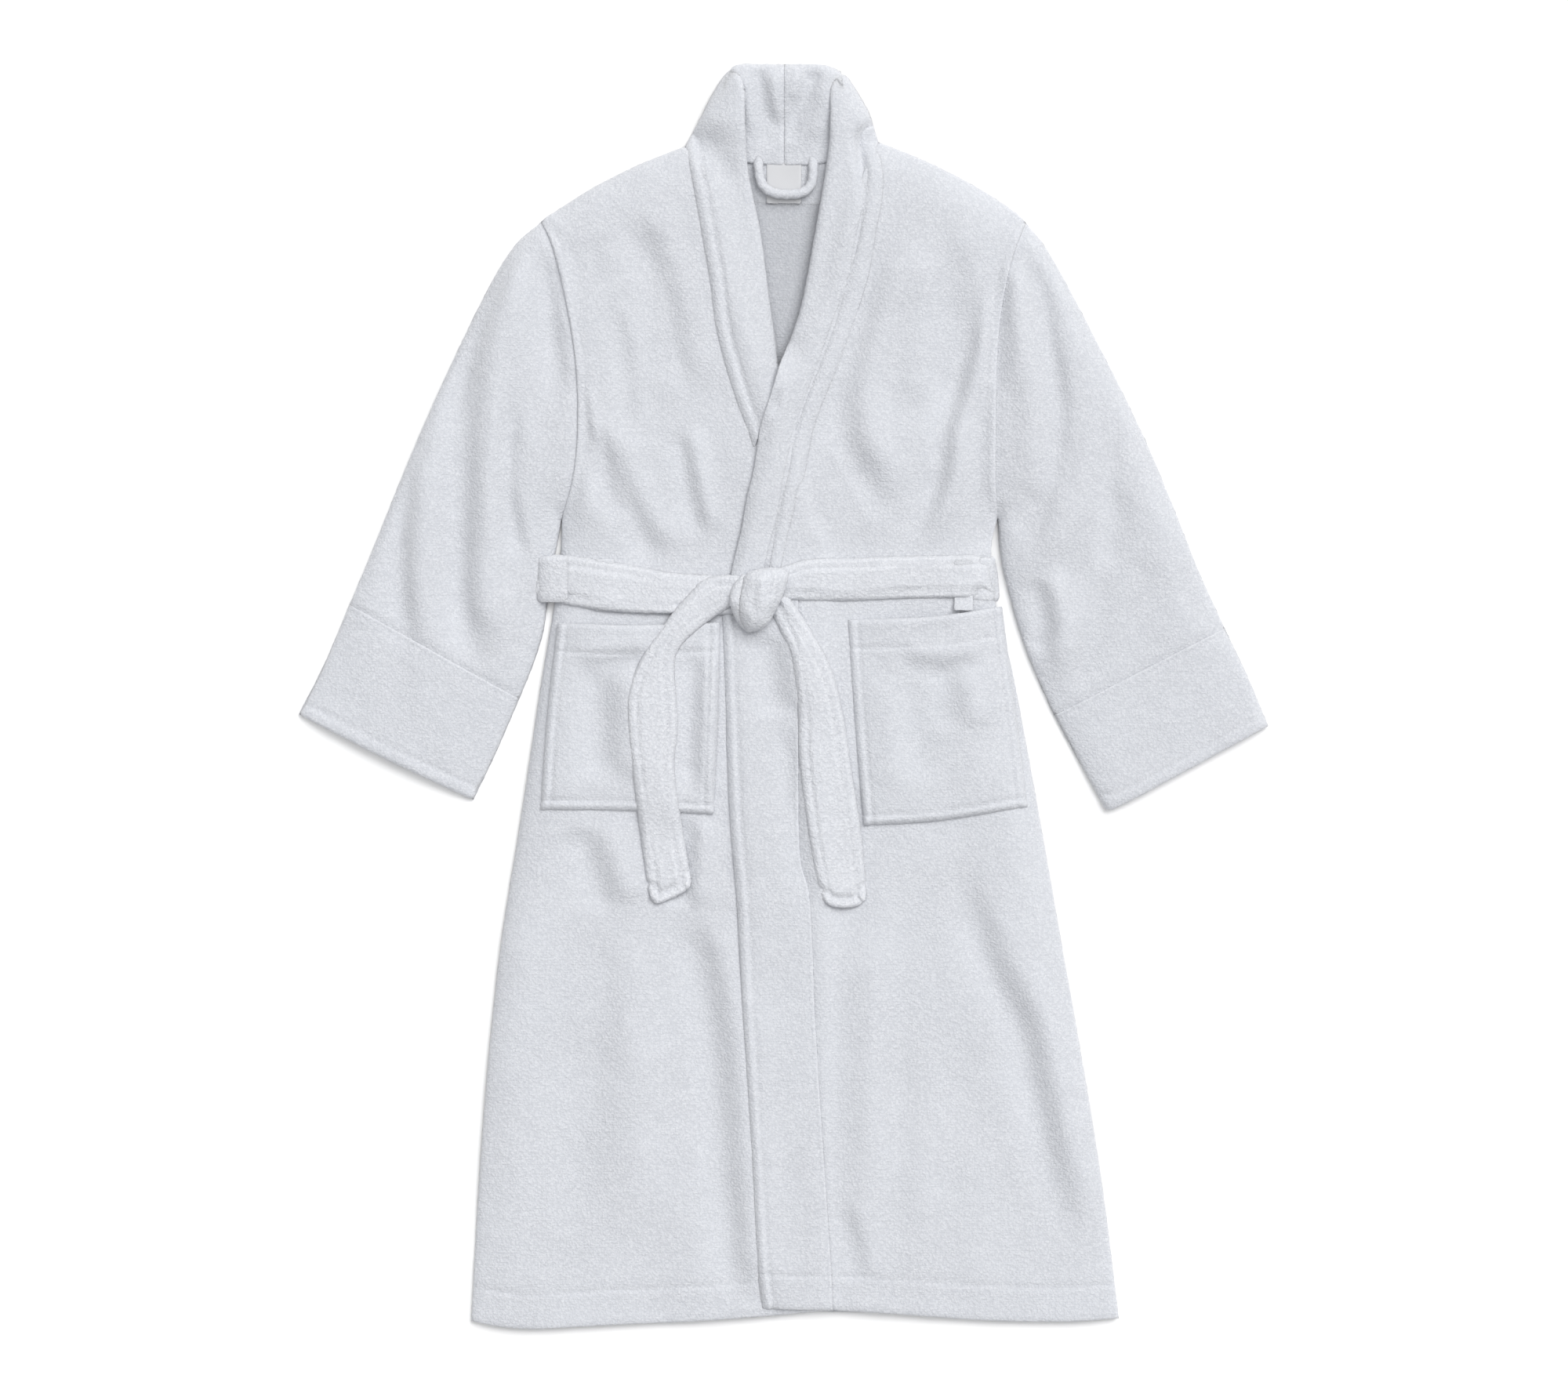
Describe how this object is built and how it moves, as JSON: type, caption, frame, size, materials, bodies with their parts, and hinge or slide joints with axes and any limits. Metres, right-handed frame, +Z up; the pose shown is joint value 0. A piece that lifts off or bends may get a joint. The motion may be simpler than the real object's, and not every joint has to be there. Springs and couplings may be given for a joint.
{
  "type": "bathrobe",
  "caption": "Knee-length terry bathrobe with shawl collar, cuffed sleeves, patch pockets, hanging loop and a tied waist belt, laid flat on its back.",
  "frame": {"origin": "under the middle of the robe's overall width and length, at the level it lies on", "axes": "+Z up out of the cloth, the way the front faces; +Y from the hem towards the collar; +X to the right as seen from above, which is the side of the front that laps over"},
  "size_m": [0.924, 1.208, 0.065],
  "materials": {
    "terry_body": "cotton terry, looped pile",
    "terry_band": "cotton terry, doubled and topstitched",
    "terry_collar": "cotton terry, doubled, soft fold",
    "terry_trim": "cotton terry, narrow rolled or flat trim",
    "terry_belt": "cotton terry, doubled, stitched along both edges",
    "satin_label": "woven satin ribbon, blank"
  },
  "bodies": {
    "robe": {"back_panel": "terry_body", "front_panel_left": "terry_body", "front_panel_right": "terry_body", "front_band": "terry_band", "pocket_left": "terry_body", "pocket_right": "terry_body", "belt_loop_left": "terry_trim", "belt_loop_right": "terry_trim", "collar_left": "terry_collar", "collar_right": "terry_collar", "back_neck_facing": "terry_trim", "label": "satin_label", "belt_back": "terry_belt", "belt_strap_left": "terry_belt", "belt_strap_right": "terry_belt", "belt_knot": "terry_belt"},
    "sleeve_left_body": {"sleeve_left": "terry_body", "cuff_left": "terry_band"},
    "sleeve_right_body": {"sleeve_right": "terry_body", "cuff_right": "terry_band"},
    "front_corner": {"front_band_corner": "terry_band", "front_panel_corner": "terry_body"},
    "tail_left": {"belt_tail_left": "terry_belt"},
    "tail_right": {"belt_tail_right": "terry_belt"},
    "loop": {"hanging_loop": "terry_trim"}
  },
  "joints": [
    {"name": "sleeve_left_swing", "type": "hinge", "parent": "robe", "child": "sleeve_left_body", "pos_m": [-0.2315, 0.454, 0.013], "axis": [0, 0, -1], "range_deg": [0, 20]},
    {"name": "sleeve_right_swing", "type": "hinge", "parent": "robe", "child": "sleeve_right_body", "pos_m": [0.2315, 0.454, 0.013], "axis": [0, 0, 1], "range_deg": [0, 20]},
    {"name": "corner_fold", "type": "hinge", "parent": "robe", "child": "front_corner", "pos_m": [-0.04235, -0.219, 0.0305], "axis": [-0.4469, 0.8946, 0], "range_deg": [0, 140]},
    {"name": "tail_left_lift", "type": "hinge", "parent": "robe", "child": "tail_left", "pos_m": [-0.122, 0.025, 0.05], "axis": [-1, 0, 0], "range_deg": [0, 130]},
    {"name": "tail_right_lift", "type": "hinge", "parent": "robe", "child": "tail_right", "pos_m": [0.03, 0.025, 0.05], "axis": [-1, 0, 0], "range_deg": [0, 130]},
    {"name": "loop_lift", "type": "hinge", "parent": "robe", "child": "loop", "pos_m": [0, 0.508, 0.0145], "axis": [-1, 0, 0], "range_deg": [0, 120]}
  ]
}
